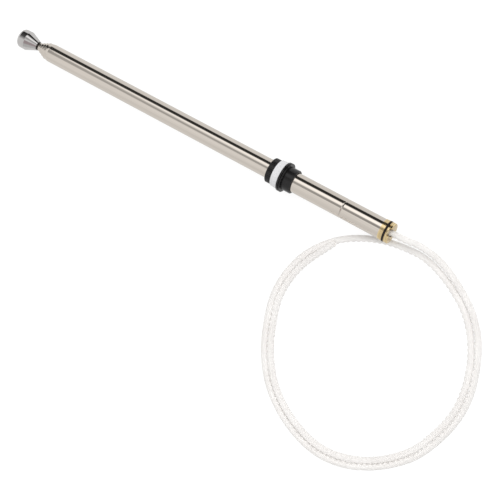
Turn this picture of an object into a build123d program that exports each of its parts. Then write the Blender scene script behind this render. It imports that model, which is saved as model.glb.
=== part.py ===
from build123d import *
import os
from math import atan2, degrees, pi, radians, sqrt, tan

# Telescopic mast of a motor-driven car antenna, retracted and lying on the ground
# Millimetres. +X runs along the mast towards the knob, +Z is up, the ground is z = 0
# The origin is on the ground under the middle of the mast
# A value ending in _x is a distance along the mast from the foot's end face

# Mast
mast_length = 197.2
tube_wall = 0.30
section_gap = 0.35
tube_sections = 3
nose_step = 1.5
running_gap = 0.05
stop_play = 0.3
part_gap = 0.1

# Swaged mouth and flared foot of a section
mouth_length = 2.4
mouth_land = 0.9
mouth_round = 0.15
flare_length = 1.0

# Slotted friction springs and stop collars
spring_length = 6.0
spring_wall = 0.10
spring_band = 0.8
spring_slots = 6
spring_slot_width = 0.5
stop_length = 3.0
stop_chamfer = 0.1

# Drive cable
cable_od = 2.9
cable_clearance = 0.10
cable_join_x = 8.0
cable_end_gap = 0.2
coil_turn_radius = 47.75
coil_free_end_angle = -45.0

# Route of the cable from inside the foot to the coil
# Each point is the distance from the foot's end, the distance sideways, and the share of the way up
# from where the cable lies on the ground to the mast's axis
lead_route = [
    (cable_join_x, 0.0, 1.0),
    (-9.8, 0.0, 1.0),
    (-26.6, 1.0, 0.66),
    (-42.3, 9.3, 0.26),
    (-52.8, 22.9, 0.0),
    (-56.0, 30.7, 0.0),
]

# Tip
rod_od = 3.2
rod_socket_depth = 6.0
ferrule_length = 8.0
ferrule_wall = 0.40
ferrule_clearance = 0.10
knob_overhang = 0.2
knob_dome_radius = 6.5
knob_dome_round = 1.6
knob_band = 3.4
knob_cone = 5.6
knob_neck_od = 4.2
knob_edge_round = 0.25
seal_od = 3.7
seal_width = 0.7
seal_round = 0.15

# Stop sleeve
sleeve_wall = 0.20
sleeve_length = 44.5
sleeve_round = 0.12
rolled_ring_x = 23.0
rolled_ring_width = 0.8
rolled_ring_depth = 0.10

# Brass foot
foot_step = 0.20
foot_end_length = 1.85
foot_groove_width = 1.0
foot_groove_depth = 0.8
foot_rim_length = 1.95
foot_rim_land = 0.8
foot_rim_step = 0.12
foot_spigot_length = 18.0
foot_chamfer = 0.35
foot_slot_length = 1.2
foot_slot_turn = 8.0
stake_mark_r = 0.35
stake_mark_depth = 0.35
stake_marks = [(1.3, 43.0), (0.55, 28.0), (0.5, -12.0)]
foot_seal_round = 0.25
foot_seal_rise = 0.05
foot_seal_ribs = 36
foot_seal_rib_depth = 0.12

# Collar
collar_clearance = 0.10
collar_play = 0.4
guide_wall = 1.0
guide_length = 4.2
guide_lead_in = 0.3
guide_recess_depth = 2.5
guide_recess_clearance = 0.25
flange_rise = 1.3
flange_length = 1.75
flange_round = 0.2
flange_groove_rise = 0.65
flange_groove_width = 0.4
flange_groove_depth = 0.3
hub_wall = 0.7
hub_overlap = 1.2
insulator_rise_low = 0.95
insulator_rise_high = 0.6
insulator_length = 3.4
insulator_round = 0.2
top_ring_rise = 0.3
top_ring_length = 2.9
top_ring_chamfer = 0.2
knurl_flutes = 44
knurl_depth = 0.14
wiper_width = 1.4
wiper_depth = 0.55
wiper_nose_width = 0.4

# Diameters, worked out from the cable outwards
ferrule_od = cable_od + 2 * ferrule_wall
core_bore = ferrule_od + 2 * ferrule_clearance
tube_pitch = 2 * (tube_wall + section_gap)
core_od = core_bore + 2 * tube_wall
tube_od = [core_od + (tube_sections - i) * tube_pitch for i in range(tube_sections + 1)]
tube_bore = [od - 2 * tube_wall for od in tube_od]
sleeve_od = tube_od[0] + 2 * sleeve_wall
foot_od = sleeve_od + 2 * foot_step
knob_od = tube_od[0] + 2 * knob_overhang
cable_bore = cable_od + 2 * cable_clearance
collar_bore = tube_od[0] + 2 * collar_clearance
guide_od = collar_bore + 2 * guide_wall
hub_od = collar_bore + 2 * hub_wall
flange_od = guide_od + 2 * flange_rise
axis_height = flange_od / 2

# Places along the mast
foot_length = foot_end_length + foot_groove_width + foot_rim_length
spigot_end_x = foot_length + foot_spigot_length
section_foot_x = spigot_end_x + stop_play
dome_height = knob_dome_radius - sqrt(knob_dome_radius**2 - (knob_od / 2) ** 2)
knob_base_x = mast_length - knob_cone - knob_band - dome_height
last_nose_x = knob_base_x - seal_width - 2 * part_gap
nose_x = [last_nose_x - (tube_sections - i) * nose_step for i in range(tube_sections + 1)]
spring_x = section_foot_x + flare_length + part_gap
stop_x = spring_x + spring_length + part_gap
rod_foot_x = section_foot_x + ferrule_length / 2
rod_spring_x = section_foot_x + ferrule_length + part_gap
rod_stop_x = rod_spring_x + spring_length + part_gap
sleeve_end_x = foot_length + sleeve_length
collar_x = sleeve_end_x + collar_play - guide_recess_depth
flange_x = collar_x + guide_length
wiper_x = (collar_x + guide_recess_depth + flange_x) / 2
insulator_x = flange_x + flange_length
top_ring_x = insulator_x + insulator_length
hub_end_x = top_ring_x + hub_overlap

# The mast's own directions: its x is up from the axis, and its z runs along it from the foot
mast = Plane(origin=(-mast_length / 2, 0, axis_height), x_dir=(0, 0, 1), z_dir=(1, 0, 0))


def turned(outline, rounds=()):
    """A turned piece from its outline of (radius, x) points, with the corners named in rounds filleted."""
    face = make_face(Polyline(*outline, close=True))
    for corner, radius in rounds:
        near = face.vertices().sort_by_distance((*corner, 0))[0]
        face = fillet(near, radius)
    return revolve(Plane.XZ * face, Axis.Z)


def fluted(shape, radius, start, length, count, depth):
    """The shape with shallow V grooves along it, evenly spaced round its outside."""
    half_width = pi * radius / count
    mouth = radius + depth
    vee = make_face(Polyline((radius - depth, 0), (mouth, half_width), (mouth, -half_width), close=True))
    groove = Pos(0, 0, start) * extrude(vee, length)
    return shape - [Rot(0, 0, i * 360 / count) * groove for i in range(count)]


def swaged_tube(level, start, flared):
    """A thin tube with its mouth drawn in round the next section, and a flared foot if it slides."""
    inner_od = tube_od[level + 1] if level < tube_sections else rod_od
    r_out = tube_od[level] / 2
    r_in = tube_bore[level] / 2
    mouth_in = inner_od / 2 + running_gap
    mouth_out = mouth_in + tube_wall
    end = nose_x[level]
    taper_start = end - mouth_length
    taper_end = end - mouth_land
    outline = [(r_in, taper_start), (mouth_in, taper_end), (mouth_in, end)]
    outline += [(mouth_out, end), (mouth_out, taper_end), (r_out, taper_start)]
    if flared:
        r_flare = tube_bore[level - 1] / 2 - running_gap
        flare_top = start + flare_length
        lip_top = flare_top - (r_flare - r_out)
        outline += [(r_out, flare_top), (r_flare, lip_top), (r_flare, start)]
        outline += [(r_flare - tube_wall, start), (r_flare - tube_wall, lip_top), (r_in, flare_top)]
    else:
        outline += [(r_out, start), (r_in, start)]
    return turned(outline, [((mouth_out, end), mouth_round)])


def friction_spring(shaft_od, bore, start):
    """A slotted sleeve of spring bronze, bowed between its two end bands to rub on the bore."""
    r_in = shaft_od / 2
    r_out = r_in + spring_wall
    bow = bore / 2 - running_gap - r_out
    middle = spring_length / 2
    bow_end = spring_length - spring_band
    outside = ThreePointArc((r_out, spring_band), (r_out + bow, middle), (r_out, bow_end))
    inside = ThreePointArc((r_in, spring_band), (r_in + bow, middle), (r_in, bow_end))
    top = Polyline((r_out, bow_end), (r_out, spring_length), (r_in, spring_length), (r_in, bow_end))
    foot = Polyline((r_in, spring_band), (r_in, 0), (r_out, 0), (r_out, spring_band))
    sleeve = revolve(Plane.XZ * make_face([outside, top, inside, foot]), Axis.Z)
    slot = Pos(bore / 2, 0, middle) * Box(bore, spring_slot_width, spring_length - 2 * spring_band)
    for i in range(spring_slots):
        sleeve -= Rot(0, 0, i * 360 / spring_slots) * slot
    return Pos(0, 0, start) * sleeve


def stop_collar(shaft_od, bore, start):
    """A pressed-on brass ring that meets the inside of the swaged mouth at full extension."""
    r_in = shaft_od / 2
    r_out = bore / 2 - running_gap
    end = start + stop_length
    outline = [(r_in, start), (r_out, start), (r_out, end - stop_chamfer)]
    outline += [(r_out - stop_chamfer, end), (r_in, end)]
    return turned(outline)


def stop_sleeve():
    """The thin tube pressed over the outer tube's lower end, with a shallow ring rolled into it."""
    r_in = tube_od[0] / 2
    r_out = sleeve_od / 2
    half = rolled_ring_width / 2
    outline = [(r_in, foot_length), (r_out, foot_length), (r_out, rolled_ring_x - half)]
    outline += [(r_out - rolled_ring_depth, rolled_ring_x), (r_out, rolled_ring_x + half)]
    outline += [(r_out, sleeve_end_x), (r_in, sleeve_end_x)]
    return turned(outline, [((r_out, sleeve_end_x), sleeve_round)])


def brass_foot():
    """The turned foot: an end piece and a rim with the ring groove between, and a spigot up the tube."""
    r_bore = cable_bore / 2
    r_foot = foot_od / 2
    r_groove = r_foot - foot_groove_depth
    r_land = r_foot - foot_rim_step
    r_spigot = tube_bore[0] / 2
    groove_end = foot_end_length + foot_groove_width
    outline = [(r_bore, 0), (r_foot - foot_chamfer, 0), (r_foot, foot_chamfer), (r_foot, foot_end_length)]
    outline += [(r_groove, foot_end_length), (r_groove, groove_end), (r_foot, groove_end)]
    outline += [(r_foot, foot_length - foot_rim_land), (r_land, foot_length - foot_rim_land)]
    outline += [(r_land, foot_length), (r_spigot, foot_length), (r_spigot, spigot_end_x)]
    outline += [(r_bore, spigot_end_x)]
    body = turned(outline)
    slot = Pos(foot_od / 2, 0, foot_slot_length / 2) * Box(foot_od, cable_bore, foot_slot_length)
    body -= Rot(0, 0, foot_slot_turn) * slot
    mark = Pos(r_foot, 0, 0) * Rot(0, 90, 0) * Cylinder(stake_mark_r, 2 * stake_mark_depth)
    for x, turn in stake_marks:
        body -= Rot(0, 0, turn) * Pos(0, 0, x) * mark
    return body


def foot_seal_ring():
    """The dark ring in the foot's groove, ribbed across its outside."""
    r_in = foot_od / 2 - foot_groove_depth
    r_out = foot_od / 2 + foot_seal_rise
    start = foot_end_length
    end = start + foot_groove_width
    corners = [(r_in, start), (r_out, start), (r_out, end), (r_in, end)]
    ring = turned(corners, [(corner, foot_seal_round) for corner in corners[1:3]])
    return fluted(ring, r_out, start, foot_groove_width, foot_seal_ribs, foot_seal_rib_depth)


def collar_flange_sleeve():
    """The black moulding: a guide for the housing, a double-lipped flange, and a hub for the rings."""
    r_bore = collar_bore / 2
    r_guide = guide_od / 2
    r_hub = hub_od / 2
    r_flange = flange_od / 2
    r_recess = sleeve_od / 2 + guide_recess_clearance
    r_wiper = r_bore + wiper_depth
    recess_end = collar_x + guide_recess_depth
    wiper_end = wiper_x + wiper_width
    groove = flange_x + flange_groove_rise
    half = flange_groove_width / 2
    outline = [(r_bore, recess_end), (r_recess, recess_end), (r_recess, collar_x)]
    outline += [(r_guide - guide_lead_in, collar_x), (r_guide, collar_x + guide_lead_in)]
    outline += [(r_guide, flange_x), (r_flange, flange_x), (r_flange, groove - half)]
    outline += [(r_flange - flange_groove_depth, groove), (r_flange, groove + half)]
    outline += [(r_flange, insulator_x), (r_hub, insulator_x), (r_hub, hub_end_x), (r_bore, hub_end_x)]
    outline += [(r_bore, wiper_end), (r_wiper, wiper_end), (r_wiper, wiper_x), (r_bore, wiper_x)]
    rounds = [((r_flange, flange_x), flange_round), ((r_flange, insulator_x), flange_round)]
    return turned(outline, rounds)


def collar_wiper():
    """A rubber ring in the collar's groove whose narrow nose wipes the tube."""
    r_out = collar_bore / 2 + wiper_depth
    r_body = collar_bore / 2
    r_nose = tube_od[0] / 2 + running_gap
    end = wiper_x + wiper_width
    middle = wiper_x + wiper_width / 2
    half = wiper_nose_width / 2
    outline = [(r_out, wiper_x), (r_out, end), (r_body, end)]
    outline += [(r_nose, middle + half), (r_nose, middle - half), (r_body, wiper_x)]
    return turned(outline)


def collar_insulator():
    """The white ring between the flange and the cap: it tapers towards the tip."""
    r_hub = hub_od / 2
    r_low = guide_od / 2 + insulator_rise_low
    r_high = guide_od / 2 + insulator_rise_high
    outline = [(r_hub, insulator_x), (r_low, insulator_x), (r_high, top_ring_x), (r_hub, top_ring_x)]
    return turned(outline, [(corner, insulator_round) for corner in outline[1:3]])


def collar_top_ring():
    """The black cap on the hub, with straight flutes round it: it steps in above the hub's end."""
    r_bore = collar_bore / 2
    r_hub = hub_od / 2
    r_out = guide_od / 2 + top_ring_rise
    end = top_ring_x + top_ring_length
    outline = [(r_hub, top_ring_x), (r_out, top_ring_x), (r_out, end - top_ring_chamfer)]
    outline += [(r_out - top_ring_chamfer, end), (r_bore, end), (r_bore, hub_end_x), (r_hub, hub_end_x)]
    return fluted(turned(outline), r_out, top_ring_x, top_ring_length, knurl_flutes, knurl_depth)


def tip_knob():
    """The chrome knob: a cone up from the neck, a plain band, and a flattened dome."""
    r_neck = knob_neck_od / 2
    r_knob = knob_od / 2
    band_x = knob_base_x + knob_cone
    dome_x = band_x + knob_band
    top = mast_length
    dome_rise = knob_dome_radius - sqrt(knob_dome_radius**2 - (r_knob / 2) ** 2)
    sides = Polyline((0, top), (0, knob_base_x), (r_neck, knob_base_x), (r_knob, band_x),
                     (r_knob, dome_x))
    dome = ThreePointArc((r_knob, dome_x), (r_knob / 2, top - dome_rise), (0, top))
    face = make_face([sides, dome])
    face = fillet(face.vertices().sort_by_distance((r_knob, dome_x, 0))[0], knob_dome_round)
    face = fillet(face.vertices().sort_by_distance((r_knob, band_x, 0))[0], knob_edge_round)
    knob = revolve(Plane.XZ * face, Axis.Z)
    return knob - Pos(0, 0, knob_base_x) * Cylinder(rod_od / 2, 2 * rod_socket_depth)


def tip_seal_ring():
    r_in = rod_od / 2
    r_out = seal_od / 2
    start = knob_base_x - part_gap - seal_width
    end = start + seal_width
    corners = [(r_in, start), (r_out, start), (r_out, end), (r_in, end)]
    return turned(corners, [(corner, seal_round) for corner in corners[1:3]])


def rod(od, start, length):
    return Pos(0, 0, start) * Cylinder(od / 2, length, align=(Align.CENTER, Align.CENTER, Align.MIN))


def cable_ferrule():
    """The crimped sleeve that holds the cable's end in its lower half and the rod's in its upper half."""
    r_out = ferrule_od / 2
    r_cable = cable_od / 2
    r_rod = rod_od / 2
    end = section_foot_x + ferrule_length
    outline = [(r_cable, section_foot_x), (r_out, section_foot_x), (r_out, end), (r_rod, end)]
    outline += [(r_rod, rod_foot_x), (r_cable, rod_foot_x)]
    return turned(outline)


def lead_points():
    """The corners of the lead's route, between the mast's axis and the cable lying on the ground."""
    lying = cable_od / 2
    climb = axis_height - lying
    return [Vector(x - mast_length / 2, y, lying + share * climb) for x, y, share in lead_route]


def cable_lead():
    """The cable from the foot to the ground: straight runs joined by arcs as large as the runs allow."""
    points = lead_points()
    radii = []
    for before, corner, after in zip(points, points[1:], points[2:]):
        run_in = corner - before
        run_out = after - corner
        half_turn = radians(run_in.get_angle(run_out)) / 2
        radii.append(0.45 * min(run_in.length, run_out.length) / tan(half_turn))
    print("lead radii in mm:", [round(radius, 1) for radius in radii])
    path = FilletPolyline(*points, radius=radii)
    section = Plane(origin=path @ 0, z_dir=path % 0) * Circle(cable_od / 2)
    lead = sweep(section, path=path)
    plain_volume = pi * (cable_od / 2) ** 2 * path.length
    print("lead length in mm:", round(path.length, 1))
    print("lead volume over section times length:", round(lead.volume / plain_volume, 4))
    return lead


def cable_coil():
    """The coil's outer shape: two turns side by side, one where the lead runs beside the inner turn."""
    before, end = lead_points()[-2:]
    along = (end - before).normalized()
    centre = end + Vector(along.Y, -along.X, 0) * coil_turn_radius
    start_angle = degrees(atan2(end.Y - centre.Y, end.X - centre.X))
    double_arc = (start_angle - coil_free_end_angle) % 360
    inner_radius = coil_turn_radius - cable_od
    pair = Plane.XZ * Pos(coil_turn_radius - cable_od / 2, 0) * SlotOverall(2 * cable_od, cable_od)
    single = Plane.XZ * Pos(inner_radius, 0) * Circle(cable_od / 2)
    two_turns = Rot(0, 0, coil_free_end_angle) * revolve(pair, Axis.Z, double_arc)
    one_turn = Rot(0, 0, start_angle) * revolve(single, Axis.Z, 360 - double_arc)
    return Pos(centre.X, centre.Y, cable_od / 2) * (two_turns + one_turn)


def save(shape, name):
    export_step(shape, f"parts/{name}.step")


def save_on_mast(shape, name):
    save(mast * shape, name)


os.makedirs("parts", exist_ok=True)

save_on_mast(swaged_tube(0, foot_length, flared=False), "outer_tube")
save_on_mast(stop_sleeve(), "stop_sleeve")
save_on_mast(brass_foot(), "brass_foot")
save_on_mast(foot_seal_ring(), "foot_seal_ring")

save_on_mast(collar_flange_sleeve(), "collar_flange_sleeve")
save_on_mast(collar_wiper(), "collar_wiper")
save_on_mast(collar_insulator(), "collar_insulator")
save_on_mast(collar_top_ring(), "collar_top_ring")

for level in range(1, tube_sections + 1):
    bore = tube_bore[level - 1]
    save_on_mast(swaged_tube(level, section_foot_x, flared=True), f"section_{level}_tube")
    save_on_mast(friction_spring(tube_od[level], bore, spring_x), f"section_{level}_spring")
    save_on_mast(stop_collar(tube_od[level], bore, stop_x), f"section_{level}_stop")

rod_length = knob_base_x + rod_socket_depth - rod_foot_x
inner_cable_x = cable_join_x + cable_end_gap
save_on_mast(rod(rod_od, rod_foot_x, rod_length), "tip_rod")
save_on_mast(friction_spring(rod_od, core_bore, rod_spring_x), "tip_spring")
save_on_mast(stop_collar(rod_od, core_bore, rod_stop_x), "tip_stop")
save_on_mast(tip_knob(), "tip_knob")
save_on_mast(tip_seal_ring(), "tip_seal_ring")
save_on_mast(cable_ferrule(), "cable_ferrule")
save_on_mast(rod(cable_od, inner_cable_x, rod_foot_x - inner_cable_x), "drive_cable_inner")

save(cable_lead(), "drive_cable_lead")
save(cable_coil(), "drive_cable_coil")

section_stop_top_x = stop_x + stop_length
tip_stop_top_x = rod_stop_x + stop_length
for level in range(tube_sections + 1):
    stop_top_x = section_stop_top_x if level < tube_sections else tip_stop_top_x
    travel = nose_x[level] - mouth_length - stop_top_x - stop_play
    print("travel out of tube", level, "in mm:", round(travel, 2))
collar_travel = nose_x[0] - mouth_length - top_ring_x - top_ring_length - stop_play
print("collar travel in mm:", round(collar_travel, 2))
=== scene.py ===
import math

import bmesh
import bpy
from mathutils import Matrix, Vector


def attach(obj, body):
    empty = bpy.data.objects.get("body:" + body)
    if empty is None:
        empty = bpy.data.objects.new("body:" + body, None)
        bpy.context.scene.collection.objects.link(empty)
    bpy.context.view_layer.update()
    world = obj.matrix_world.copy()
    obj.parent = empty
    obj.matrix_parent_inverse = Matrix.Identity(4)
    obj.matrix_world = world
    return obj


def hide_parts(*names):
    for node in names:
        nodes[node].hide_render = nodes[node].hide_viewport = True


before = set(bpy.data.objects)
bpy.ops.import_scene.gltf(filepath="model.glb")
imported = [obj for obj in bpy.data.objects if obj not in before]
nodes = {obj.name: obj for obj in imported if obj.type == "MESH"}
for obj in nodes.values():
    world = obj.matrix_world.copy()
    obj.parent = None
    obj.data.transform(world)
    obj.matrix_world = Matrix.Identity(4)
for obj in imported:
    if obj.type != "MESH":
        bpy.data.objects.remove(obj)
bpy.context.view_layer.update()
bpy.context.scene.view_settings.view_transform = "Standard"


# Camera. It looks steeply down from above the foot end, rolled so that the mast runs
# up to the left and the coil lies below its brass end.
aim = Vector((-0.0440, 0.0362, 0.0))
camera_distance = 0.536
towards_camera = Vector((-0.30593, -0.18665, 0.93358))
picture_right = Vector((-0.83118, -0.42583, -0.35751))
picture_up = towards_camera.cross(picture_right)
camera_data = bpy.data.cameras.new("camera")
camera_data.sensor_width = 36.0
camera_data.lens = 88.8
camera_data.clip_start = 0.01
camera_data.clip_end = 20.0
camera = bpy.data.objects.new("camera", camera_data)
turn = Matrix((picture_right, picture_up, towards_camera)).transposed().to_4x4()
camera.matrix_world = Matrix.Translation(aim + camera_distance * towards_camera) @ turn
bpy.context.scene.collection.objects.link(camera)
bpy.context.scene.camera = camera


# Drive cable. A round cord of milky nylon with a shallow rack moulded along one side,
# which the motor's gear drives. It leaves the foot on the mast's axis, sinks to the
# ground, and lies in a loose coil of just under two turns with a cut end.
cable_diameter = 0.0029
cable_radius = cable_diameter / 2
foot_end_x = -0.0986

# The route in millimetres: x from the foot's end towards the tip, y from the mast's axis
# and z up from the ground.
route = [
    (8, 0, 6.6), (-4, 0, 6.5), (-12, -0.91, 4.7), (-20.53, 0.58, 3), (-29.64, 4.35, 2.2),
    (-43.01, 13, 1.6), (-51.92, 24.18, 1.45), (-57.75, 40.68, 1.45), (-58.56, 54.03, 1.45),
    (-55.29, 67.07, 1.45), (-49.64, 79.5, 1.45), (-37.76, 90.84, 1.45), (-24.86, 97.62, 1.45),
    (-10.44, 99.42, 1.45), (5.61, 94.49, 1.45), (19, 85.43, 1.45), (28.5, 72.75, 1.45),
    (34.16, 57.19, 1.45), (36.29, 45.45, 1.45), (34.27, 32.6, 1.45), (29.21, 22.22, 1.45),
    (19.94, 12.34, 1.45), (6.68, 5.66, 1.45), (-4.71, 3.29, 1.45), (-16.67, 2.82, 1.45),
    (-30.2, 8.02, 1.45), (-42.06, 16.01, 1.45), (-50.33, 27.84, 1.45), (-54.83, 41.53, 1.45),
    (-55.64, 53.77, 1.45), (-52.62, 65.52, 1.45), (-47.56, 77.38, 1.45), (-36.04, 88.65, 1.45),
    (-24.25, 94.48, 1.45), (-11.28, 96.59, 1.45), (4.09, 91.92, 1.45), (17.12, 83.38, 1.45),
    (26.03, 70.87, 1.45), (31.24, 56.62, 1.45), (33.48, 45.35, 1.45), (31.09, 32.89, 1.7),
    (26.64, 24.17, 3.2), (20.95, 15.26, 4.4),
]
route_data = bpy.data.curves.new("drive_cable_route", "CURVE")
route_data.dimensions = "3D"
route_data.resolution_u = 16
spline = route_data.splines.new("NURBS")
spline.points.add(len(route) - 1)
for point, (x, y, z) in zip(spline.points, route):
    point.co = (foot_end_x + x / 1000, y / 1000, z / 1000, 1.0)
spline.order_u = 3
spline.use_endpoint_u = True
route_curve = bpy.data.objects.new("drive_cable_route", route_data)
route_mesh = bpy.data.meshes.new_from_object(route_curve)
route_line = [vertex.co.copy() for vertex in route_mesh.vertices]
bpy.data.objects.remove(route_curve)

# Each pitch of the rack has a bit of crest, a flank down, the valley, a flank up and the
# rest of the crest, as shares of the pitch. The heights are from the cable's middle. A
# ring of the skin stands at each corner.
tooth_pitch = 0.00235
crest_before_flank = 0.08
tooth_flank = 0.12
tooth_valley = 0.36
crest_height = 0.00142
valley_height = 0.00105
along_at = [0.0]
for here, beyond in zip(route_line, route_line[1:]):
    along_at.append(along_at[-1] + (beyond - here).length)
cable_length = along_at[-1]
teeth = int(cable_length / tooth_pitch)
stations = [0.0]
rack_heights = [crest_height]
for tooth in range(teeth):
    start = tooth * tooth_pitch
    for share, height in (
        (crest_before_flank, crest_height),
        (crest_before_flank + tooth_flank, valley_height),
        (crest_before_flank + tooth_flank + tooth_valley, valley_height),
        (crest_before_flank + 2 * tooth_flank + tooth_valley, crest_height),
    ):
        stations.append(start + share * tooth_pitch)
        rack_heights.append(height)
stations.append(cable_length)
rack_heights.append(crest_height)

# The skin starts as a flat grid, with x along the cable and y once round it.
sides_round = 20
last_ring = len(stations) - 1
cable_mesh = bmesh.new()
bmesh.ops.create_grid(cable_mesh, x_segments=last_ring, y_segments=sides_round, size=1.0)
cable_uv = cable_mesh.loops.layers.uv.new("along_cable")
for face in cable_mesh.faces:
    for loop in face.loops:
        ring = round((loop.vert.co.x + 1) / 2 * last_ring)
        loop[cable_uv].uv = (stations[ring] / (math.pi * cable_diameter), (loop.vert.co.y + 1) / 2)
segment = 0
ring_places = []
for station in stations:
    while segment < len(along_at) - 2 and along_at[segment + 1] < station:
        segment += 1
    share = (station - along_at[segment]) / (along_at[segment + 1] - along_at[segment])
    centre = route_line[segment].lerp(route_line[segment + 1], share)
    before = route_line[max(segment - 1, 0)]
    after = route_line[min(segment + 2, len(route_line) - 1)]
    forward = (after - before).normalized()
    outward = Vector((0, 0, 1)).cross(forward).normalized()
    ring_places.append((centre, -outward, outward.cross(-forward)))

# The rack faces the inside of the coil and leans up a little. It sways as the cable
# twists: each sway is its degrees, its radians a metre along the cable, and its phase.
rack_lean = 4
rack_sways = ((20, 17.0, 0.0), (10, 41.0, 1.0))
for vertex in cable_mesh.verts:
    ring = round((vertex.co.x + 1) / 2 * last_ring)
    centre, inward, upward = ring_places[ring]
    rack_degrees = rack_lean
    for sway, rate, phase in rack_sways:
        rack_degrees += sway * math.sin(stations[ring] * rate + phase)
    rack_turn = math.radians(rack_degrees)
    angle = math.pi * (vertex.co.y + 1)
    out = min(cable_radius * math.cos(angle), rack_heights[ring])
    side = cable_radius * math.sin(angle)
    across = out * math.cos(rack_turn) - side * math.sin(rack_turn)
    up = out * math.sin(rack_turn) + side * math.cos(rack_turn)
    vertex.co = centre + across * inward + up * upward
seam_gap = 0.00001
bmesh.ops.remove_doubles(cable_mesh, verts=cable_mesh.verts, dist=seam_gap)
rims = [edge for edge in cable_mesh.edges if edge.is_boundary]
bmesh.ops.holes_fill(cable_mesh, edges=rims, sides=0)
bmesh.ops.recalc_face_normals(cable_mesh, faces=cable_mesh.faces)
cable_data = bpy.data.meshes.new("drive_cable")
cable_mesh.to_mesh(cable_data)
cable_mesh.free()
cable_data.shade_smooth()
cable_data.set_sharp_from_angle(angle=math.radians(35))
drive_cable = bpy.data.objects.new("drive_cable", cable_data)
bpy.context.scene.collection.objects.link(drive_cable)

nylon = bpy.data.materials.new("milky_nylon")
nylon.use_nodes = True
tree = nylon.node_tree
shader = tree.nodes["Principled BSDF"]
shader.subsurface_method = "BURLEY"
shader.inputs["Subsurface Weight"].default_value = 0.4
shader.inputs["Subsurface Radius"].default_value = (1.0, 1.0, 1.0)
shader.inputs["Subsurface Scale"].default_value = 0.004
shader.inputs["IOR"].default_value = 1.3
shader.inputs["Specular IOR Level"].default_value = 0.35
place = tree.nodes.new("ShaderNodeTexCoord")
cloud = tree.nodes.new("ShaderNodeTexNoise")
cloud.inputs["Scale"].default_value = 90.0
cloud.inputs["Detail"].default_value = 3.0
tint = tree.nodes.new("ShaderNodeValToRGB")
tint.color_ramp.elements[0].position = 0.32
tint.color_ramp.elements[0].color = (0.665, 0.645, 0.628, 1)
tint.color_ramp.elements[1].position = 0.68
tint.color_ramp.elements[1].color = (0.695, 0.68, 0.665, 1)
drawn = tree.nodes.new("ShaderNodeTexNoise")
drawn.inputs["Scale"].default_value = 6.0
stretch = tree.nodes.new("ShaderNodeMapping")
stretch.inputs["Scale"].default_value = (0.4, 9.0, 1.0)
gloss = tree.nodes.new("ShaderNodeMapRange")
gloss.inputs["To Min"].default_value = 0.42
gloss.inputs["To Max"].default_value = 0.58
bump = tree.nodes.new("ShaderNodeBump")
bump.inputs["Strength"].default_value = 0.08
bump.inputs["Distance"].default_value = 0.0001
tree.links.new(place.outputs["Object"], cloud.inputs["Vector"])
tree.links.new(cloud.outputs["Fac"], tint.inputs["Fac"])
tree.links.new(tint.outputs["Color"], shader.inputs["Base Color"])
tree.links.new(place.outputs["UV"], stretch.inputs["Vector"])
tree.links.new(stretch.outputs["Vector"], drawn.inputs["Vector"])
tree.links.new(drawn.outputs["Fac"], gloss.inputs["Value"])
tree.links.new(gloss.outputs["Result"], shader.inputs["Roughness"])
tree.links.new(drawn.outputs["Fac"], bump.inputs["Height"])
tree.links.new(bump.outputs["Normal"], shader.inputs["Normal"])
cable_data.materials.append(nylon)


def finish_nodes(material, *names):
    """Gives each named node this material in place of the one it came with."""
    for name in names:
        nodes[name].data.materials.clear()
        nodes[name].data.materials.append(material)


finish_nodes(nylon, "drive_cable_inner")

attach(drive_cable, "mast_base")
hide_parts("drive_cable_lead", "drive_cable_coil")


# Mast tubes. Four nested stainless tubes and the solid rod inside them, drawn to size and
# polished along their length, each tube with its mouth swaged in round the next section.
# The stop sleeve is a fifth, thin tube pressed over the lower end.

# All the metals share these marks: noise stretched into fine lines along the mast or
# round it, and broad smears over the lines that make the gloss uneven.
draw_marks = bpy.data.node_groups.new("draw_marks", "ShaderNodeTree")
for name, start in (("Along", 30.0), ("Across", 2500.0), ("Smoothest", 0.1), ("Roughest", 0.2)):
    socket = draw_marks.interface.new_socket(name, in_out="INPUT", socket_type="NodeSocketFloat")
    socket.default_value = start
for name in ("Roughness", "Lines"):
    draw_marks.interface.new_socket(name, in_out="OUTPUT", socket_type="NodeSocketFloat")
group_in = draw_marks.nodes.new("NodeGroupInput")
group_out = draw_marks.nodes.new("NodeGroupOutput")
place = draw_marks.nodes.new("ShaderNodeTexCoord")
scales = draw_marks.nodes.new("ShaderNodeCombineXYZ")
stretched = draw_marks.nodes.new("ShaderNodeVectorMath")
stretched.operation = "MULTIPLY"
lines = draw_marks.nodes.new("ShaderNodeTexNoise")
lines.inputs["Scale"].default_value = 1.0
lines.inputs["Detail"].default_value = 4.0
smears = draw_marks.nodes.new("ShaderNodeTexNoise")
smears.inputs["Scale"].default_value = 70.0
smears.inputs["Detail"].default_value = 3.0
smeared_lines = draw_marks.nodes.new("ShaderNodeMath")
smeared_lines.operation = "MULTIPLY"
spread = draw_marks.nodes.new("ShaderNodeMapRange")
spread.inputs["From Min"].default_value = 0.12
spread.inputs["From Max"].default_value = 0.42
draw_marks.links.new(group_in.outputs["Along"], scales.inputs["X"])
draw_marks.links.new(group_in.outputs["Across"], scales.inputs["Y"])
draw_marks.links.new(group_in.outputs["Across"], scales.inputs["Z"])
draw_marks.links.new(place.outputs["Object"], stretched.inputs[0])
draw_marks.links.new(scales.outputs["Vector"], stretched.inputs[1])
draw_marks.links.new(stretched.outputs["Vector"], lines.inputs["Vector"])
draw_marks.links.new(place.outputs["Object"], smears.inputs["Vector"])
draw_marks.links.new(lines.outputs["Fac"], smeared_lines.inputs[0])
draw_marks.links.new(smears.outputs["Fac"], smeared_lines.inputs[1])
draw_marks.links.new(smeared_lines.outputs["Value"], spread.inputs["Value"])
draw_marks.links.new(group_in.outputs["Smoothest"], spread.inputs["To Min"])
draw_marks.links.new(group_in.outputs["Roughest"], spread.inputs["To Max"])
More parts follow.
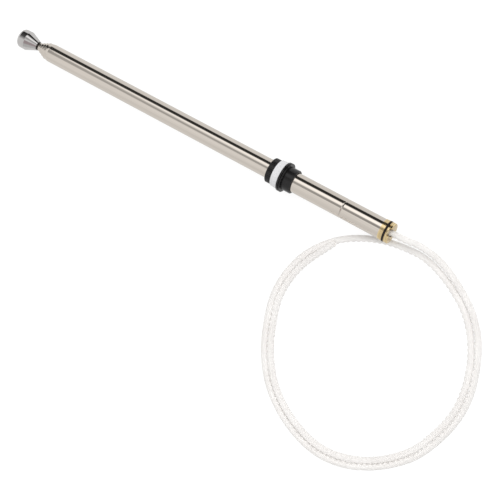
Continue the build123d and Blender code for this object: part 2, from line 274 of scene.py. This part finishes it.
draw_marks.links.new(spread.outputs["Result"], group_out.inputs["Roughness"])
draw_marks.links.new(lines.outputs["Fac"], group_out.inputs["Lines"])


def metal(name, dark, light, smoothest, roughest, along, across, bump_strength):
    """A metal whose colour and gloss both vary along its draw or lathe marks."""
    made = bpy.data.materials.new(name)
    made.use_nodes = True
    tree = made.node_tree
    shader = tree.nodes["Principled BSDF"]
    shader.inputs["Metallic"].default_value = 1.0
    marks = tree.nodes.new("ShaderNodeGroup")
    marks.node_tree = draw_marks
    marks.inputs["Along"].default_value = along
    marks.inputs["Across"].default_value = across
    marks.inputs["Smoothest"].default_value = smoothest
    marks.inputs["Roughest"].default_value = roughest
    tone = tree.nodes.new("ShaderNodeValToRGB")
    tone.color_ramp.elements[0].position = 0.3
    tone.color_ramp.elements[0].color = (*dark, 1)
    tone.color_ramp.elements[1].position = 0.7
    tone.color_ramp.elements[1].color = (*light, 1)
    bump = tree.nodes.new("ShaderNodeBump")
    bump.inputs["Strength"].default_value = bump_strength
    bump.inputs["Distance"].default_value = 0.00005
    tree.links.new(marks.outputs["Lines"], tone.inputs["Fac"])
    tree.links.new(tone.outputs["Color"], shader.inputs["Base Color"])
    tree.links.new(marks.outputs["Roughness"], shader.inputs["Roughness"])
    tree.links.new(marks.outputs["Lines"], bump.inputs["Height"])
    tree.links.new(bump.outputs["Normal"], shader.inputs["Normal"])
    return made


polished_steel = metal(
    "polished_stainless", dark=(0.635, 0.58, 0.52), light=(0.685, 0.63, 0.57),
    smoothest=0.05, roughest=0.12, along=12.0, across=2200.0, bump_strength=0.04,
)
finish_nodes(
    polished_steel, "outer_tube", "stop_sleeve",
    "section_1_tube", "section_2_tube", "section_3_tube", "tip_rod",
)


# Tip knob. Turned brass, polished and chromed: a flattened dome, a plain band, and a cone
# down to the neck, where a small black ring cushions it against the sections' mouths.
chrome = metal(
    "chrome", dark=(0.56, 0.545, 0.535), light=(0.60, 0.585, 0.575),
    smoothest=0.02, roughest=0.045, along=600.0, across=300.0, bump_strength=0.01,
)
finish_nodes(chrome, "tip_knob")


# Brass foot, stop rings and crimped ferrule. Free-turning brass with fine lathe rings
# round it. The springs beside the stop rings are of thin bronze strip.
brass = metal(
    "turned_brass", dark=(0.50, 0.36, 0.17), light=(0.92, 0.76, 0.46),
    smoothest=0.13, roughest=0.28, along=4000.0, across=60.0, bump_strength=0.4,
)
finish_nodes(
    brass, "brass_foot", "section_1_stop", "section_2_stop", "section_3_stop",
    "tip_stop", "cable_ferrule",
)
bronze = metal(
    "spring_bronze", dark=(0.62, 0.38, 0.22), light=(0.75, 0.50, 0.31),
    smoothest=0.2, roughest=0.4, along=60.0, across=1500.0, bump_strength=0.1,
)
finish_nodes(bronze, "section_1_spring", "section_2_spring", "section_3_spring", "tip_spring")


# Collar mouldings and rings. Black moulded plastic for the flange sleeve and the knurled
# top ring, a white insulating ring between them, and dark rubber for the rings that seal
# the foot, the knob and the collar.
def moulded(name, dark, light, smoothest, roughest, grain, bump_strength):
    """A plastic or rubber with a fine moulded grain that varies its colour and gloss a little."""
    made = bpy.data.materials.new(name)
    made.use_nodes = True
    tree = made.node_tree
    shader = tree.nodes["Principled BSDF"]
    shader.inputs["Specular IOR Level"].default_value = 0.3
    place = tree.nodes.new("ShaderNodeTexCoord")
    fine = tree.nodes.new("ShaderNodeTexNoise")
    fine.inputs["Scale"].default_value = grain
    fine.inputs["Detail"].default_value = 5.0
    grains_across_a_patch = 12
    broad = tree.nodes.new("ShaderNodeTexNoise")
    broad.inputs["Scale"].default_value = grain / grains_across_a_patch
    tone = tree.nodes.new("ShaderNodeValToRGB")
    tone.color_ramp.elements[0].position = 0.35
    tone.color_ramp.elements[0].color = (*dark, 1)
    tone.color_ramp.elements[1].position = 0.65
    tone.color_ramp.elements[1].color = (*light, 1)
    gloss = tree.nodes.new("ShaderNodeMapRange")
    gloss.inputs["From Min"].default_value = 0.3
    gloss.inputs["From Max"].default_value = 0.7
    gloss.inputs["To Min"].default_value = smoothest
    gloss.inputs["To Max"].default_value = roughest
    bump = tree.nodes.new("ShaderNodeBump")
    bump.inputs["Strength"].default_value = bump_strength
    bump.inputs["Distance"].default_value = 0.00008
    tree.links.new(place.outputs["Object"], fine.inputs["Vector"])
    tree.links.new(place.outputs["Object"], broad.inputs["Vector"])
    tree.links.new(fine.outputs["Fac"], tone.inputs["Fac"])
    tree.links.new(tone.outputs["Color"], shader.inputs["Base Color"])
    tree.links.new(broad.outputs["Fac"], gloss.inputs["Value"])
    tree.links.new(gloss.outputs["Result"], shader.inputs["Roughness"])
    tree.links.new(fine.outputs["Fac"], bump.inputs["Height"])
    tree.links.new(bump.outputs["Normal"], shader.inputs["Normal"])
    return made


black_plastic = moulded(
    "black_plastic", dark=(0.005, 0.005, 0.0055), light=(0.011, 0.010, 0.010),
    smoothest=0.16, roughest=0.3, grain=2400.0, bump_strength=0.12,
)
finish_nodes(black_plastic, "collar_flange_sleeve", "collar_top_ring")
white_plastic = moulded(
    "white_plastic", dark=(0.55, 0.55, 0.56), light=(0.66, 0.66, 0.67),
    smoothest=0.35, roughest=0.5, grain=1800.0, bump_strength=0.3,
)
finish_nodes(white_plastic, "collar_insulator")
rubber = moulded(
    "dark_rubber", dark=(0.004, 0.003, 0.0025), light=(0.018, 0.011, 0.008),
    smoothest=0.4, roughest=0.6, grain=3000.0, bump_strength=0.3,
)
finish_nodes(rubber, "foot_seal_ring", "tip_seal_ring", "collar_wiper")


# Studio. A white floor that the mast and coil lie on, soft light from above, and a tent
# of reflecting panels along the mast, which only glossy surfaces show.

# The floor glows, so that it stays white round the part, but less so in reflections.
floor_half_width = 4.0
floor_mesh = bmesh.new()
bmesh.ops.create_grid(floor_mesh, x_segments=1, y_segments=1, size=floor_half_width)
floor_data = bpy.data.meshes.new("floor")
floor_mesh.to_mesh(floor_data)
floor_mesh.free()
floor = bpy.data.objects.new("floor", floor_data)
bpy.context.scene.collection.objects.link(floor)
white_floor = bpy.data.materials.new("white_floor")
white_floor.use_nodes = True
white_floor.cycles.emission_sampling = "NONE"
tree = white_floor.node_tree
shader = tree.nodes["Principled BSDF"]
shader.inputs["Base Color"].default_value = (0.25, 0.25, 0.25, 1)
shader.inputs["Roughness"].default_value = 0.9
shader.inputs["Specular IOR Level"].default_value = 0.0
shader.inputs["Emission Color"].default_value = (1, 1, 1, 1)
rays = tree.nodes.new("ShaderNodeLightPath")
floor_glow = tree.nodes.new("ShaderNodeMapRange")
floor_glow.inputs["To Min"].default_value = 0.81
floor_glow.inputs["To Max"].default_value = 0.58
tree.links.new(rays.outputs["Is Glossy Ray"], floor_glow.inputs["Value"])
tree.links.new(floor_glow.outputs["Result"], shader.inputs["Emission Strength"])
floor_data.materials.append(white_floor)

# The tent is a half tunnel over the mast, a straight beam swept over it from the side
# away from the coil.
tent_end_x = -1.6
tent_length = 3.2
tent_radius = 1.2
tent_steps = 48
tent_mesh = bmesh.new()
post = bmesh.ops.create_vert(tent_mesh, co=(tent_end_x, -tent_radius, 0.0))["vert"]
beam = bmesh.ops.extrude_vert_indiv(tent_mesh, verts=post)
bmesh.ops.translate(tent_mesh, verts=beam["verts"], vec=(tent_length, 0, 0))
bmesh.ops.spin(
    tent_mesh, geom=beam["edges"] + beam["verts"] + post, cent=(0, 0, 0), axis=(1, 0, 0),
    angle=-math.pi, steps=tent_steps, use_merge=False,
)
tent_data = bpy.data.meshes.new("reflection_tent")
tent_mesh.to_mesh(tent_data)
tent_mesh.free()
tent = bpy.data.objects.new("reflection_tent", tent_data)
bpy.context.scene.collection.objects.link(tent)
tent.visible_camera = False
tent.visible_diffuse = False
tent.visible_shadow = False
tent.visible_volume_scatter = False
panels = bpy.data.materials.new("tent_panels")
panels.use_nodes = True
panels.cycles.emission_sampling = "NONE"
tree = panels.node_tree
tree.nodes.remove(tree.nodes["Principled BSDF"])
panel_glow = tree.nodes.new("ShaderNodeEmission")
place = tree.nodes.new("ShaderNodeTexCoord")
axes = tree.nodes.new("ShaderNodeSeparateXYZ")
away_from_coil = tree.nodes.new("ShaderNodeMath")
away_from_coil.operation = "MULTIPLY"
away_from_coil.inputs[1].default_value = -1.0
around_mast = tree.nodes.new("ShaderNodeMath")
around_mast.operation = "ARCTAN2"
half_turns = tree.nodes.new("ShaderNodeMath")
half_turns.operation = "DIVIDE"
half_turns.inputs[1].default_value = math.pi

# The panels fan a little, by half turns round the mast for each metre along it.
fan_slope = -0.056
fan_offset = 0.02
fan = tree.nodes.new("ShaderNodeMath")
fan.operation = "MULTIPLY_ADD"
fan.inputs[1].default_value = fan_slope
fanned = tree.nodes.new("ShaderNodeMath")
fanned.operation = "ADD"
fanned.inputs[1].default_value = fan_offset

# Each list gives the panels' brightness, or their colour, at degrees round the mast: 0 is
# level on the side away from the coil, 90 straight up and 180 level on the coil's side.
maroon = (0.49, 0.42, 0.43)
by_tubes_foot_end = [
    (0, 0.85), (3, 0.7), (6, 0.035), (36, 0.035), (40, 0.7), (45, 1.55), (68, 1.55), (74, 0.8),
    (79, 0.38), (92, 0.38), (98, 0.8), (107, 1.0), (130, 0.95), (158, 0.86), (175, 0.84), (180, 0.84),
]
by_tubes_tip_end = [
    (0, 0.85), (3, 0.7), (6, 0.04), (40, 0.04), (43, 0.7), (46, 1.16), (55, 1.16), (60, 0.8),
    (64, 0.52), (80, 0.50), (86, 0.8), (96, 1.0), (130, 0.97), (158, 0.87), (175, 0.84), (180, 0.84),
]
beyond_tip = [
    (0, 0.3), (3, 0.03), (18, 0.04), (38, 0.075), (55, 0.11), (61, 0.15), (67, 0.30), (77, 0.42),
    (87, 0.75), (98, 0.86), (180, 0.86),
]
beyond_foot = [
    (0, 0.3), (3, 0.02), (24, 0.02), (29, 0.16), (34, 0.60), (40, 0.75), (43, 1.35), (55, 1.35),
    (63, 0.65), (69, 0.54), (79, 0.56), (86, 0.88), (102, 0.88), (107, maroon), (134, maroon),
    (146, 0.66), (180, 0.68),
]
panel_rows = []
for levels in (by_tubes_foot_end, by_tubes_tip_end, beyond_tip, beyond_foot):
    row = tree.nodes.new("ShaderNodeValToRGB")
    stops = row.color_ramp.elements
    for step, (degrees, level) in enumerate(levels):
        if step == 0:
            stop = stops[0]
        elif step == len(levels) - 1:
            stop = stops[-1]
        else:
            stop = stops.new(degrees / 180)
        shade = level if level is maroon else (level, level, level)
        stop.color = (*shade, 1)
    tree.links.new(fanned.outputs["Value"], row.inputs["Fac"])
    panel_rows.append(row.outputs["Color"])

# Each further row takes over between two places along the mast, in metres.
tip_end_from, tip_end_to = 0.20, 0.72
beyond_tip_from, beyond_tip_to = 0.765, 0.785
beyond_foot_from, beyond_foot_to = 0.12, 0.06
shown = panel_rows[0]
for further, takes_over_from, takes_over_to in (
    (panel_rows[1], tip_end_from, tip_end_to),
    (panel_rows[2], beyond_tip_from, beyond_tip_to),
    (panel_rows[3], beyond_foot_from, beyond_foot_to),
):
    where = tree.nodes.new("ShaderNodeMapRange")
    where.inputs["From Min"].default_value = takes_over_from
    where.inputs["From Max"].default_value = takes_over_to
    blend = tree.nodes.new("ShaderNodeMix")
    blend.data_type = "RGBA"
    tree.links.new(axes.outputs["X"], where.inputs["Value"])
    tree.links.new(where.outputs["Result"], blend.inputs["Factor"])
    tree.links.new(shown, blend.inputs["A"])
    tree.links.new(further, blend.inputs["B"])
    shown = blend.outputs["Result"]
tree.links.new(shown, panel_glow.inputs["Color"])
tree.links.new(place.outputs["Object"], axes.inputs["Vector"])
tree.links.new(axes.outputs["Y"], away_from_coil.inputs[0])
tree.links.new(axes.outputs["Z"], around_mast.inputs[0])
tree.links.new(away_from_coil.outputs["Value"], around_mast.inputs[1])
tree.links.new(around_mast.outputs["Value"], half_turns.inputs[0])
tree.links.new(axes.outputs["X"], fan.inputs[0])
tree.links.new(half_turns.outputs["Value"], fan.inputs[2])
tree.links.new(fan.outputs["Value"], fanned.inputs[0])
tree.links.new(panel_glow.outputs["Emission"], tree.nodes["Material Output"].inputs["Surface"])
tent_data.materials.append(panels)

# The room is even and white, a little dimmer as light than as it is seen.
world = bpy.data.worlds.new("studio_room")
bpy.context.scene.world = world
world.use_nodes = True
tree = world.node_tree
background = tree.nodes["Background"]
background.inputs["Color"].default_value = (1.0, 1.0, 1.0, 1)
rays = tree.nodes.new("ShaderNodeLightPath")
seen_or_mirrored = tree.nodes.new("ShaderNodeMath")
seen_or_mirrored.operation = "MAXIMUM"
seen_at_all = tree.nodes.new("ShaderNodeMath")
seen_at_all.operation = "MAXIMUM"
room_level = tree.nodes.new("ShaderNodeMapRange")
room_level.inputs["To Min"].default_value = 0.82
room_level.inputs["To Max"].default_value = 1.0
tree.links.new(rays.outputs["Is Camera Ray"], seen_or_mirrored.inputs[0])
tree.links.new(rays.outputs["Is Glossy Ray"], seen_or_mirrored.inputs[1])
tree.links.new(seen_or_mirrored.outputs["Value"], seen_at_all.inputs[0])
tree.links.new(rays.outputs["Is Transmission Ray"], seen_at_all.inputs[1])
tree.links.new(seen_at_all.outputs["Value"], room_level.inputs["Value"])
tree.links.new(room_level.outputs["Result"], background.inputs["Strength"])

# Two soft boxes light the plastic and the nylon, and don't show in the metal.
for name, spot, width, power in (
    ("key_softbox", Vector((-0.35, -0.75, 1.1)), 0.9, 9.0),
    ("fill_softbox", Vector((0.5, 0.7, 1.2)), 1.1, 4.0),
):
    lamp_data = bpy.data.lights.new(name, "AREA")
    lamp_data.shape = "SQUARE"
    lamp_data.size = width
    lamp_data.energy = power
    lamp = bpy.data.objects.new(name, lamp_data)
    lamp.location = spot
    lamp.rotation_euler = (-spot).to_track_quat("-Z", "Y").to_euler()
    lamp.visible_glossy = False
    bpy.context.scene.collection.objects.link(lamp)


bpy.context.view_layer.update()
